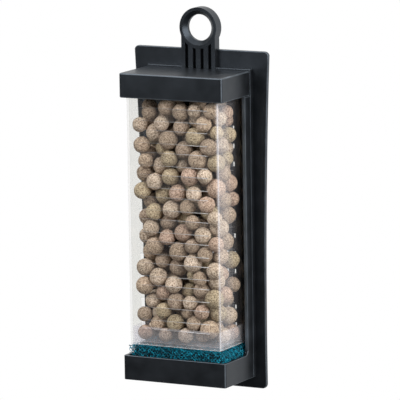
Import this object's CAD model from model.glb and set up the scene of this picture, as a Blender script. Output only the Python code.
import math

import bmesh
import bpy
import numpy as np
from mathutils import Matrix, Vector


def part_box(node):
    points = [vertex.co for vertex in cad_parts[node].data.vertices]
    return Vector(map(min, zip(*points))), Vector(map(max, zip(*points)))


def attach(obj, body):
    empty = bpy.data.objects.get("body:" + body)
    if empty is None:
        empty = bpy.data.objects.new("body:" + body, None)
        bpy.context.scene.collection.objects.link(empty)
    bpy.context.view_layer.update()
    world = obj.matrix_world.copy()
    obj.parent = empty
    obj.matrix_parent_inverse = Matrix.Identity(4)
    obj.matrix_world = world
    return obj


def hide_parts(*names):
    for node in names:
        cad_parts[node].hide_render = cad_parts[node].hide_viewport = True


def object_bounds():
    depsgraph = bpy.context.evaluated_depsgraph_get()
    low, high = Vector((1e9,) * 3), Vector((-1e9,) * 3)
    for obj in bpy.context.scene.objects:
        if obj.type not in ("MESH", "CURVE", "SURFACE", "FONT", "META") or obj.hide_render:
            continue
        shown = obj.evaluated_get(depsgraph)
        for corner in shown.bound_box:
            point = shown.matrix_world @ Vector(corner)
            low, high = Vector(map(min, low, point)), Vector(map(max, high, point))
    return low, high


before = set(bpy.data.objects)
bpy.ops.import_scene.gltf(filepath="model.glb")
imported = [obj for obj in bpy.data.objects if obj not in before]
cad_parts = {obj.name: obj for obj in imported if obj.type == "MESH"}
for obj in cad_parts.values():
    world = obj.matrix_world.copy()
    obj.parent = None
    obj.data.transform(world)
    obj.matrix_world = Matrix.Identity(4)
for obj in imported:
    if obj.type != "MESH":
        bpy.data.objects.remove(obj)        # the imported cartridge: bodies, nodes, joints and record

mm = 0.001
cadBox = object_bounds()
print("frame loaded:", len(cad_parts), "nodes")


def linear(hexColour, alpha=1.0):
    # sRGB byte s to linear light: s / 12.92 under 0.04045, else ((s + 0.055) / 1.055) to the power 2.4
    s = np.array([int(hexColour[i:i + 2], 16) for i in (1, 3, 5)]) / 255
    return (*np.where(s <= 0.04045, s / 12.92, ((s + 0.055) / 1.055) ** 2.4).tolist(), alpha)


# camera, floor and light

shot = {
    "azimuth": 27.84,      # degrees round from the front, towards +X
    "elevation": 9.44,     # degrees above the horizon
    "roll": -0.86,         # degrees that the picture is turned
    "distance": 2.587,     # metres, a long lens across a small studio
    "lens": 382.3,         # millimetres on a 36 mm sensor
    "aim": (-0.0016, -0.0008, 0.114),   # from the middle of the frame, and up from the cartridge's foot
}


def placeCamera():
    # the eye stands at distance along the view direction from the aim point, and rolls about that direction
    camera = bpy.data.objects.new("camera", bpy.data.cameras.new("camera"))
    bpy.context.scene.collection.objects.link(camera)
    a, e = math.radians(shot["azimuth"]), math.radians(shot["elevation"])
    back = Vector((math.sin(a) * math.cos(e), -math.cos(a) * math.cos(e), math.sin(e)))
    aim = Vector(shot["aim"]) + Vector((0, 0, cadBox[0].z))
    turn = (-back).to_track_quat("-Z", "Y").to_matrix() @ Matrix.Rotation(math.radians(shot["roll"]), 3, "Z")
    camera.matrix_world = Matrix.Translation(aim + back * shot["distance"]) @ turn.to_4x4()
    camera.data.sensor_width = 36
    camera.data.lens = shot["lens"]
    camera.data.clip_end = 50
    bpy.context.scene.camera = camera


studio = {
    "front": 0.22,         # how bright the room is in front of the cartridge, where the backdrop is 1
    "behind": 1.0,         # how bright it is behind
    "above": 1.3,          # how bright it is overhead
    "key": 80.0,           # watts of the softbox on the right, a little in front
    "fill": 54.0,          # watts of the softbox in front, to the left and above
    "boxSize": 2.0,        # metres across each softbox; big, so that clear plastic mirrors it faintly
    "floorDrop": 60 * mm,  # from the cartridge's foot down to the floor
    "floorFront": 0.06,    # how much light the floor gives back in front of the cartridge
    "floorBehind": 0.9,    # and behind it
    "floorRadius": 0.9,    # metres
}


def addNode(tree, kind, settings={}, **inputs):
    # adds one node; settings are its own fields, and inputs are its sockets by name, each a value or a link
    node = tree.nodes.new("ShaderNode" + kind)
    for field, value in settings.items():
        setattr(node, field, value)
    for name, value in inputs.items():
        socket = node.inputs[int(name[1:]) if name[1:].isdigit() else name.replace("_", " ")]
        if isinstance(value, bpy.types.NodeSocket):
            tree.links.new(value, socket)
        else:
            socket.default_value = value
    return node


def softbox(name, place, size, watts):
    # a square area light at place, turned to look at the middle of the cartridge
    light = bpy.data.objects.new(name, bpy.data.lights.new(name, "AREA"))
    bpy.context.scene.collection.objects.link(light)
    light.data.size = size
    light.data.energy = watts
    middle = (cadBox[0] + cadBox[1]) / 2
    light.location = middle + Vector(place)
    light.rotation_euler = (-Vector(place)).to_track_quat("-Z", "Y").to_euler()


def lightStudio():
    # white backdrop for the eye; for bounced light the room fades from the backdrop to the darker front
    world = bpy.data.worlds.new("studio")
    bpy.context.scene.world = world
    world.use_nodes = True
    tree = world.node_tree
    tree.nodes.clear()
    direction = addNode(tree, "TexCoord").outputs["Generated"]
    axis = addNode(tree, "SeparateXYZ", Vector=direction)
    behind = addNode(tree, "MapRange", {"interpolation_type": "SMOOTHSTEP"}, Value=axis.outputs["Y"],
                     From_Min=-0.35, From_Max=0.55, To_Min=studio["front"], To_Max=studio["behind"])
    above = addNode(tree, "MapRange", {"interpolation_type": "SMOOTHSTEP"}, Value=axis.outputs["Z"],
                    From_Min=0.2, From_Max=0.9, To_Min=0.0, To_Max=studio["above"])
    room = addNode(tree, "Math", {"operation": "MAXIMUM"}, i0=behind.outputs[0], i1=above.outputs[0])
    dim = addNode(tree, "Background", Color=(0.99, 0.995, 1.0, 1), Strength=room.outputs[0])
    white = addNode(tree, "Background", Color=(1, 1, 1, 1), Strength=1.0)
    eye = addNode(tree, "LightPath").outputs["Is Camera Ray"]
    both = addNode(tree, "MixShader", i0=eye, i1=dim.outputs[0], i2=white.outputs[0])
    addNode(tree, "OutputWorld", Surface=both.outputs[0])
    softbox("key softbox", (1.9, -0.55, 0.8), studio["boxSize"], studio["key"])
    softbox("fill softbox", (-0.9, -1.7, 1.3), studio["boxSize"], studio["fill"])


def layFloor():
    # a round floor, white to the eye so that it meets the backdrop without an edge; the light it gives back
    # rises from floorFront to floorBehind along +Y
    sides = 96
    angle = np.arange(sides) * 2 * math.pi / sides
    ring = np.stack([np.cos(angle), np.sin(angle), 0 * angle], 1)
    mesh = bpy.data.meshes.new("floor")
    mesh.from_pydata((ring * studio["floorRadius"]).tolist(), [], [list(range(sides))])
    floor = bpy.data.objects.new("floor", mesh)
    bpy.context.scene.collection.objects.link(floor)
    floor.location.z = cadBox[0].z - studio["floorDrop"]
    material = bpy.data.materials.new("pale floor")
    material.use_nodes = True
    tree = material.node_tree
    tree.nodes.clear()
    axis = addNode(tree, "SeparateXYZ", Vector=addNode(tree, "TexCoord").outputs["Object"])
    given = addNode(tree, "MapRange", Value=axis.outputs["Y"], From_Min=-0.15, From_Max=0.25,
                    To_Min=studio["floorFront"], To_Max=studio["floorBehind"])
    bounce = addNode(tree, "Emission", Color=(1, 1, 1, 1), Strength=given.outputs[0])
    white = addNode(tree, "Emission", Color=(1, 1, 1, 1), Strength=1.0)
    eye = addNode(tree, "LightPath").outputs["Is Camera Ray"]
    glow = addNode(tree, "MixShader", i0=eye, i1=bounce.outputs[0], i2=white.outputs[0])
    clear = addNode(tree, "BsdfTransparent")
    under = addNode(tree, "NewGeometry").outputs["Backfacing"]
    side = addNode(tree, "MixShader", i0=under, i1=glow.outputs[0], i2=clear.outputs[0])
    addNode(tree, "OutputMaterial", Surface=side.outputs[0])
    mesh.materials.append(material)


placeCamera()
lightStudio()
layFloor()
bpy.context.scene.view_settings.view_transform = "Standard"
bpy.context.scene.cycles.transparent_max_bounces = 24
print("camera, light and floor placed")


# materials

def newMaterial(name):
    # an empty material, its node tree, and its Object coordinates in metres
    material = bpy.data.materials.new(name)
    material.use_nodes = True
    material.node_tree.nodes.clear()
    place = addNode(material.node_tree, "TexCoord").outputs["Object"]
    return material, material.node_tree, place


def mouldedAbs(name, colour, pale, roughness, grain):
    # ABS moulded in a lightly spark-eroded tool: near-black and satin, with soft wide highlights.
    # Cloudy patches 9 mm wide stand for handling; the grain is drawn at 0.5 mm, coarser than the real 0.1 mm
    material, tree, place = newMaterial(name)
    cloud = addNode(tree, "TexNoise", Vector=place, Scale=1 / (9 * mm), Detail=3.0)
    tone = addNode(tree, "ValToRGB", Fac=cloud.outputs["Fac"])
    tone.color_ramp.elements[0].position = 0.35
    tone.color_ramp.elements[0].color = linear(colour)
    tone.color_ramp.elements[1].position = 0.7
    tone.color_ramp.elements[1].color = linear(pale)
    grit = addNode(tree, "TexNoise", Vector=place, Scale=1 / (0.5 * mm), Detail=2.0)
    gloss = addNode(tree, "MapRange", Value=cloud.outputs["Fac"], From_Min=0.3, From_Max=0.7,
                    To_Min=roughness - 0.04, To_Max=roughness + 0.05)
    relief = addNode(tree, "Bump", Height=grit.outputs["Fac"], Strength=grain, Distance=0.05 * mm)
    skin = addNode(tree, "BsdfPrincipled", Base_Color=tone.outputs[0], Roughness=gloss.outputs[0],
                   IOR=1.53, Specular_Tint=linear("#d8e8fa"), Normal=relief.outputs[0])
    addNode(tree, "OutputMaterial", Surface=skin.outputs[0])
    return material


def clearStyrene(name, passed, haze, veil, roughness, corner=0.0):
    # clear polystyrene wall: each of its two faces passes most light, veils what is behind it with a little
    # haze, and mirrors more the flatter it is seen: 0.03 + 0.4 (1 - cosine) to the power 5.
    # A corner above 0 adds the pale stripe where the wall is seen edge-on at the box's two front corners
    material, tree, place = newMaterial(name)
    patch = addNode(tree, "TexNoise", Vector=place, Scale=1 / (14 * mm), Detail=2.0)
    cloudy = addNode(tree, "MapRange", Value=patch.outputs["Fac"], From_Min=0.3, From_Max=0.7,
                     To_Min=haze * 0.7, To_Max=haze * 1.3)
    share = cloudy.outputs[0]
    if corner:
        low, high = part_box("media_box")
        axis = addNode(tree, "SeparateXYZ", Vector=place)
        side = addNode(tree, "Math", {"operation": "ABSOLUTE"}, i0=axis.outputs["X"])
        fromSide = addNode(tree, "Math", {"operation": "SUBTRACT"}, i0=high[0], i1=side.outputs[0])
        fromFront = addNode(tree, "Math", {"operation": "SUBTRACT"}, i0=axis.outputs["Y"], i1=low[1])
        far = addNode(tree, "Math", {"operation": "MAXIMUM"}, i0=fromSide.outputs[0], i1=fromFront.outputs[0])
        stripe = addNode(tree, "MapRange", Value=far.outputs[0], From_Min=0.6 * mm, From_Max=1.7 * mm,
                         To_Min=corner, To_Max=0.0)
        fade = addNode(tree, "MapRange", Value=fromFront.outputs[0], From_Min=0.0, From_Max=24 * mm,
                       To_Min=corner * 0.65, To_Max=0.0)
        onSide = addNode(tree, "Math", {"operation": "LESS_THAN"}, i0=fromSide.outputs[0], i1=0.2 * mm)
        both = addNode(tree, "Math", {"operation": "MULTIPLY_ADD"}, i0=fade.outputs[0], i1=onSide.outputs[0],
                       i2=stripe.outputs[0])
        up = addNode(tree, "MapRange", Value=axis.outputs["Z"], From_Min=low[2], From_Max=high[2],
                     To_Min=0.45, To_Max=1.1)
        right = addNode(tree, "MapRange", Value=axis.outputs["X"], From_Min=-1 * mm, From_Max=1 * mm,
                        To_Min=0.25, To_Max=1.0)
        strong = addNode(tree, "Math", {"operation": "MULTIPLY"}, i0=up.outputs[0], i1=right.outputs[0])
        share = addNode(tree, "Math", {"operation": "MULTIPLY_ADD"}, i0=both.outputs[0], i1=strong.outputs[0],
                        i2=cloudy.outputs[0]).outputs[0]
    through = addNode(tree, "BsdfTransparent", Color=linear(passed))
    mist = addNode(tree, "BsdfDiffuse", Color=linear(veil))
    body = addNode(tree, "MixShader", i0=share, i1=through.outputs[0], i2=mist.outputs[0])
    mirror = addNode(tree, "BsdfGlossy", Color=(1, 1, 1, 1), Roughness=roughness)
    tilt = addNode(tree, "LayerWeight", Blend=0.5).outputs["Facing"]
    steep = addNode(tree, "Math", {"operation": "POWER"}, i0=tilt, i1=5.0)
    shine = addNode(tree, "Math", {"operation": "MULTIPLY_ADD"}, i0=steep.outputs[0], i1=0.4, i2=0.03)
    wall = addNode(tree, "MixShader", i0=shine.outputs[0], i1=body.outputs[0], i2=mirror.outputs[0])
    addNode(tree, "OutputMaterial", Surface=wall.outputs[0])
    return material


def firedCeramic():
    # porous fired ceramic: dry and chalky, beige with pale crumbs about 0.9 mm and dark pores about 0.5 mm;
    # each ball's own tint is in the attribute "tint"
    material, tree, place = newMaterial("porousCeramic")
    tint = addNode(tree, "Attribute", {"attribute_name": "tint"}).outputs["Color"]
    crumb = addNode(tree, "TexNoise", Vector=place, Scale=1 / (0.85 * mm), Detail=4.0, Roughness=0.7)
    pore = addNode(tree, "TexVoronoi", {"feature": "F1"}, Vector=place, Scale=1 / (1.5 * mm), Randomness=1.0)
    crumbTone = addNode(tree, "ValToRGB", Fac=crumb.outputs["Fac"])
    crumbTone.color_ramp.elements[0].position = 0.36
    crumbTone.color_ramp.elements[0].color = linear("#8c7b6b")
    crumbTone.color_ramp.elements[1].position = 0.62
    crumbTone.color_ramp.elements[1].color = linear("#ffffff")
    body = addNode(tree, "Mix", {"data_type": "RGBA", "blend_type": "MULTIPLY"}, i0=1.0, i6=tint,
                   i7=crumbTone.outputs[0])
    poreMask = addNode(tree, "MapRange", Value=pore.outputs["Distance"], From_Min=0.12, From_Max=0.30)
    skin = addNode(tree, "Mix", {"data_type": "RGBA"}, i0=poreMask.outputs[0], i6=linear("#5e4e40"),
                   i7=body.outputs[2])
    height = addNode(tree, "Math", {"operation": "MULTIPLY_ADD"}, i0=crumb.outputs["Fac"], i1=0.8,
                     i2=poreMask.outputs[0])
    relief = addNode(tree, "Bump", Height=height.outputs[0], Strength=0.75, Distance=0.3 * mm)
    dry = addNode(tree, "BsdfPrincipled", Base_Color=skin.outputs[2], Roughness=0.92, IOR=1.45,
                  Normal=relief.outputs[0])
    addNode(tree, "OutputMaterial", Surface=dry.outputs[0])
    return material


def cellFoam(name, deep, bright):
    # reticulated polyurethane: teal struts, brighter where a strut is thin and catches the light
    material, tree, place = newMaterial(name)
    patch = addNode(tree, "TexNoise", Vector=place, Scale=1 / (1.8 * mm), Detail=2.0)
    tone = addNode(tree, "ValToRGB", Fac=patch.outputs["Fac"])
    tone.color_ramp.elements[0].position = 0.42
    tone.color_ramp.elements[0].color = linear(deep)
    tone.color_ramp.elements[1].position = 0.60
    tone.color_ramp.elements[1].color = linear(bright)
    strut = addNode(tree, "BsdfPrincipled", Base_Color=tone.outputs[0], Roughness=0.65, IOR=1.33)
    addNode(tree, "OutputMaterial", Surface=strut.outputs[0])
    return material


satinAbs = mouldedAbs("satinAbs", "#0b0c0d", "#121315", 0.36, 0.25)
rubbedAbs = mouldedAbs("rubbedAbsEdge", "#33373b", "#464b50", 0.32, 0.10)
clearWall = clearStyrene("clearStyrene", "#fbfbfa", 0.004, "#f6f2f8", 0.04, corner=0.2)
cutEdge = clearStyrene("styreneEdge", "#b4b8c2", 0.36, "#ffffff", 0.15)
milkyWall = clearStyrene("milkyStyrene", "#fbfbfd", 0.08, "#fffcff", 0.12)
ceramic = firedCeramic()
foamStrut = cellFoam("tealFoam", "#01303c", "#0a87a0")
foamCore = cellFoam("tealFoamDepth", "#001920", "#002a34")
print("materials made")


# moulded pieces

def newPiece(name, points, faces, materials):
    # one mesh object at the origin, its place in its points
    mesh = bpy.data.meshes.new(name)
    mesh.from_pydata(points, [], faces)
    piece = bpy.data.objects.new(name, mesh)
    bpy.context.scene.collection.objects.link(piece)
    for material in materials:
        mesh.materials.append(material)
    return piece


def softEdged(node, name, body, radius, materials, isEdge=None, isRolled=None, joinFlats=True,
              clamp=True):
    # a merged copy of a CAD node whose sharp edges, or those for which isRolled is true, are rolled over to a
    # radius; clamp holds the radius back where faces are narrow. The rolled faces take the second material,
    # and so do faces for which isEdge is true
    mesh = bpy.data.meshes.new(name)
    bm = bmesh.new()
    bm.from_mesh(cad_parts[node].data)
    bmesh.ops.remove_doubles(bm, verts=bm.verts, dist=0.001 * mm)
    if joinFlats:
        bmesh.ops.dissolve_limit(bm, angle_limit=math.radians(0.5), verts=bm.verts, edges=bm.edges)
    for face in bm.faces:
        face.smooth = True
        face.material_index = 1 if isEdge and isEdge(face) else 0
    if isRolled:
        weight = bm.edges.layers.float.new("bevel_weight_edge")
        for edge in bm.edges:
            edge[weight] = 1.0 if isRolled(edge) else 0.0
    bm.to_mesh(mesh)
    bm.free()
    piece = bpy.data.objects.new(name, mesh)
    bpy.context.scene.collection.objects.link(piece)
    for material in materials:
        mesh.materials.append(material)
    roll = piece.modifiers.new("rolled edges", "BEVEL")
    roll.width = radius
    roll.segments = 2
    roll.limit_method = "WEIGHT" if isRolled else "ANGLE"
    roll.angle_limit = math.radians(30)
    roll.material = 1
    roll.use_clamp_overlap = clamp
    even = piece.modifiers.new("even shading", "WEIGHTED_NORMAL")
    even.weight = 80
    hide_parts(node)
    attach(piece, body)
    return piece


absPieces = {
    "back_plate": ("backPlate", "carrier", 0.5 * mm),
    "rear_panel": ("slottedPanel", "carrier", 0.2 * mm),
    "carrier_frame": ("carrierFrame", "carrier", 0.3 * mm),
    "lift_handle": ("liftingRing", "carrier", 0.5 * mm),
    "top_cap": ("topCap", "cap", 0.75 * mm),
}


def isHandledEdge(face):
    # the upright faces that hands rub paler: the rounded front corners, and the narrow fronts of the rails
    n = face.normal
    return abs(n.z) < 0.1 and (min(abs(n.x), abs(n.y)) > 0.5 or
                               n.y < -0.9 and 100 * mm ** 2 < face.calc_area() < 600 * mm ** 2)


for node, (name, body, radius) in absPieces.items():
    handled = node in ("top_cap", "carrier_frame")
    softEdged(node, name, body, radius, [satinAbs, rubbedAbs],
              isHandledEdge if handled else None, joinFlats=node != "lift_handle", clamp=not handled)


def isSlotWall(face):
    # the narrow faces through the wall, above and below each slot
    return abs(face.normal.z) > 0.5 and face.calc_area() < 120 * mm ** 2


def isLevelOrCorner(edge):
    # the level edges, and the upright ones at the box's outer corners; the slots' ends stay sharp
    a, b = (v.co for v in edge.verts)
    level = abs(a.z - b.z) < 0.1 * mm
    return edge.calc_face_angle(0) > 0.5 and (level or abs(a.z - b.z) > 50 * mm)


softEdged("media_box", "clearBox", "media", 0.16 * mm, [clearWall, cutEdge], isSlotWall,
          isLevelOrCorner)
softEdged("box_floor", "boxFloor", "media", 0.15 * mm, [milkyWall, cutEdge])
print("moulded pieces made")


# ceramic balls

balls = {
    "lump": 0.035,         # how far a ball's surface strays from round, as a share of its radius
    "waves": 12,           # random waves that add up to the lumps
    "seed": 11,
    "tints": ("#c8b49f", "#d0bfac", "#bdaa96", "#c3b498", "#cab19f", "#b9a795", "#dccbb8"),
}


def roundBodies(node):
    # points p on a ball round c satisfy p . p = 2 c . p + (r r - c . c), which least squares solves for c and
    # r, for each run of 64 triangles; runs that span two balls are dropped, and runs with one centre joined.
    # The fit works in millimetres, and a run is whole when it misses its ball by less than roundness
    mesh = node.data
    corners = np.zeros(len(mesh.loops), np.int32)
    mesh.loops.foreach_get("vertex_index", corners)
    points = np.zeros(len(mesh.vertices) * 3)
    mesh.vertices.foreach_get("co", points)
    p = points.reshape(-1, 3)[corners]
    run = 3 * 64           # corners
    roundness = 0.002      # mm
    p = p[:len(p) // run * run].reshape(-1, run, 3) / mm
    middle = p.mean(1, keepdims=True)
    p = p - middle
    left = np.concatenate([2 * p, np.ones(p.shape[:2] + (1,))], 2)
    right = (p ** 2).sum(2)
    square = left.transpose(0, 2, 1)
    answer = np.linalg.solve(square @ left, square @ right[..., None])[..., 0]
    centre = answer[:, :3]
    radius = np.sqrt(answer[:, 3] + (centre ** 2).sum(1))
    miss = np.abs(np.linalg.norm(p - centre[:, None], axis=2) - radius[:, None]).max(1)
    whole = miss < roundness
    centre = (centre + middle[:, 0])[whole] * mm
    radius = radius[whole] * mm
    jump = np.linalg.norm(np.diff(centre, axis=0), axis=1) > 0.5 * mm
    first = np.concatenate([[0], np.nonzero(jump)[0] + 1])
    return centre[first], radius[first]


def unitBall():
    # directions and triangles of an icosahedron split twice
    bm = bmesh.new()
    bmesh.ops.create_icosphere(bm, subdivisions=3, radius=1)
    points = np.array([v.co[:] for v in bm.verts])
    faces = np.array([[v.index for v in f.verts] for f in bm.faces])
    bm.free()
    return points, faces


def lumpyBalls(name, centres, radii, rng):
    # every ball: centre + r (1 + sum of a sin(w . d + phase)) d, for the directions d of the unit ball
    d, faces = unitBall()
    count = len(centres)
    waves = rng.normal(0, 4.0, (count, balls["waves"], 3))
    phase = rng.uniform(0, 2 * math.pi, (count, balls["waves"], 1))
    size = rng.uniform(0.4, 1.0, (count, balls["waves"], 1)) / math.sqrt(balls["waves"])
    lumps = (size * np.sin(waves @ d.T + phase)).sum(1) * balls["lump"]
    reach = radii[:, None] * np.minimum(1, 1 - balls["lump"] * 0.4 + lumps)
    points = centres[:, None, :] + reach[:, :, None] * d[None]
    allFaces = (faces[None] + (np.arange(count) * len(d))[:, None, None]).reshape(-1, 3)
    piece = newPiece(name, points.reshape(-1, 3).tolist(), allFaces.tolist(), [ceramic])
    palette = np.array([linear(t) for t in balls["tints"]])
    own = palette[rng.integers(0, len(palette), count)] * rng.uniform(0.85, 1.08, (count, 1))
    own[:, 3] = 1
    tint = piece.data.attributes.new("tint", "FLOAT_COLOR", "POINT")
    tint.data.foreach_set("color", np.repeat(own, len(d), axis=0).astype(np.float32).ravel())
    piece.data.shade_smooth()
    return piece


rng = np.random.default_rng(balls["seed"])
for node in sorted(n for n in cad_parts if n.startswith("media_layer_")):
    centres, radii = roundBodies(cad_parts[node])
    piece = lumpyBalls("ceramicBalls" + node[-3:], centres, radii, rng)
    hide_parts(node)
    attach(piece, "media")
    smallest, largest = (round(float(r) / mm, 2) for r in (radii.min(), radii.max()))
    print(node, len(centres), "balls, radius", smallest, "to", largest)
print("balls made")


# foam

foam = {
    "cell": 2.35 * mm,     # edge of the diamond lattice's cube, which gives pores of about 1.3 mm
    "jitter": 0.30 * mm,   # how far a joint strays from the lattice
    "strut": 0.16 * mm,    # radius of a strut
    "skin": 4.0 * mm,      # depth of the open cells; further in it is a dark core
    "inset": 0.3 * mm,     # of the outermost joints from the foam's outer shape
    "inTray": 12.9 * mm,   # height of the foam below the tray's rim
    "bulge": 1.7 * mm,     # how far the weight of the box makes it swell over the rim
    "overlap": 1.2 * mm,   # how far the dark core reaches out into the open cells
    "seed": 5,
}


def latticeStruts(low, high, inside, rng):
    # a diamond lattice: joints at the cube's corners and face centres, and again a quarter of the diagonal
    # on, each joined to its four nearest; every joint is moved by a random step
    a = foam["cell"]
    count = np.ceil((high - low) / a).astype(int) + 1
    grid = np.stack(np.meshgrid(*[np.arange(n) for n in count], indexing="ij"), -1).reshape(-1, 1, 3)
    faceCentred = np.array([[0, 0, 0], [0, 0.5, 0.5], [0.5, 0, 0.5], [0.5, 0.5, 0]])
    base = (grid + faceCentred).reshape(-1, 3)
    steps = np.array([[1, 1, 1], [-1, -1, 1], [-1, 1, -1], [1, -1, -1]]) / 4
    hub = base + 0.25
    ends = hub[:, None, :] - steps
    corner, owner = np.unique(np.round(ends.reshape(-1, 3) * 4).astype(int), axis=0, return_inverse=True)
    hubAt = low + hub * a + rng.normal(0, foam["jitter"], hub.shape)
    cornerAt = low + corner / 4 * a + rng.normal(0, foam["jitter"], corner.shape)
    start = np.repeat(hubAt, 4, axis=0)
    end = cornerAt[owner.reshape(-1)]
    keep = inside(start) & inside(end)
    return start[keep], end[keep]


def strutTubes(name, start, end, radius, materials):
    # a three-sided tube from half a radius before start to half a radius past end:
    # point + r (cos t u + sin t v)
    along = end - start
    length = np.linalg.norm(along, axis=1, keepdims=True)
    w = along / length
    helper = np.where(np.abs(w[:, 2:3]) < 0.8, np.array([[0, 0, 1.0]]), np.array([[1.0, 0, 0]]))
    u = np.cross(w, helper)
    u /= np.linalg.norm(u, axis=1, keepdims=True)
    v = np.cross(w, u)
    t = np.arange(3) * 2 * math.pi / 3
    around = np.cos(t)[None, :, None] * u[:, None] + np.sin(t)[None, :, None] * v[:, None]
    overlap = w * radius * 0.5
    rings = np.stack([start - overlap, end + overlap], 1)
    points = rings[:, :, None, :] + radius * around[:, None]
    quads = np.array([[0, 1, 4, 3], [1, 2, 5, 4], [2, 0, 3, 5]])
    caps = np.array([[2, 1, 0], [3, 4, 5]])
    offset = (np.arange(len(start)) * 6)[:, None, None]
    faces = (quads + offset).reshape(-1, 4).tolist() + (caps + offset).reshape(-1, 3).tolist()
    return newPiece(name, points.reshape(-1, 3).tolist(), faces, materials)


def makeFoam():
    # struts fill the block's outer skin, and a smaller block, set in from every face, is the dark core.
    # Above the tray's rim the foam swells by bulge (u to the power 6) sin(pi t), for u across and t up
    low, high = (np.array(c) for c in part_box("foam_block"))
    rim = low[2] + foam["inTray"]
    middle, half = (low + high) / 2, (high - low) / 2

    def within(p, d):
        # true where p lies at least d inside the block
        return ((p > low + d) & (p < high - d)).all(1)

    def swollen(p):
        # p moved outwards to the sides and the front, but not beside the rails at the back
        up = np.sin(math.pi * np.clip((p[:, 2] - rim) / (high[2] - rim), 0, 1))
        u = (p - middle) / half
        free = np.clip((middle[1] + half[1] * 0.3 - p[:, 1]) / (4 * mm), 0, 1)
        out = p.copy()
        out[:, 0] += foam["bulge"] * np.sign(u[:, 0]) * np.abs(u[:, 0]) ** 6 * up * free
        out[:, 1] -= foam["bulge"] * 0.4 * (u[:, 1] < 0) * np.abs(u[:, 1]) ** 6 * up
        return out

    rng = np.random.default_rng(foam["seed"])
    margin = foam["inset"] + foam["strut"]
    start, end = latticeStruts(low, high, lambda p: within(p, margin) & ~within(p, foam["skin"]), rng)
    piece = strutTubes("foamBlock", swollen(start), swollen(end), foam["strut"], [foamStrut, foamCore])
    core = bmesh.new()
    core.from_mesh(piece.data)
    block = bmesh.ops.create_cube(core, size=2)["verts"]
    for vert in block:
        vert.co = Vector(middle) + Vector(half - foam["skin"] + foam["overlap"]) * vert.co
    for face in {face for vert in block for face in vert.link_faces}:
        face.material_index = 1
    core.to_mesh(piece.data)
    core.free()
    print("foam struts:", len(start))
    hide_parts("foam_block")
    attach(piece, "foam")


makeFoam()
print("foam made")
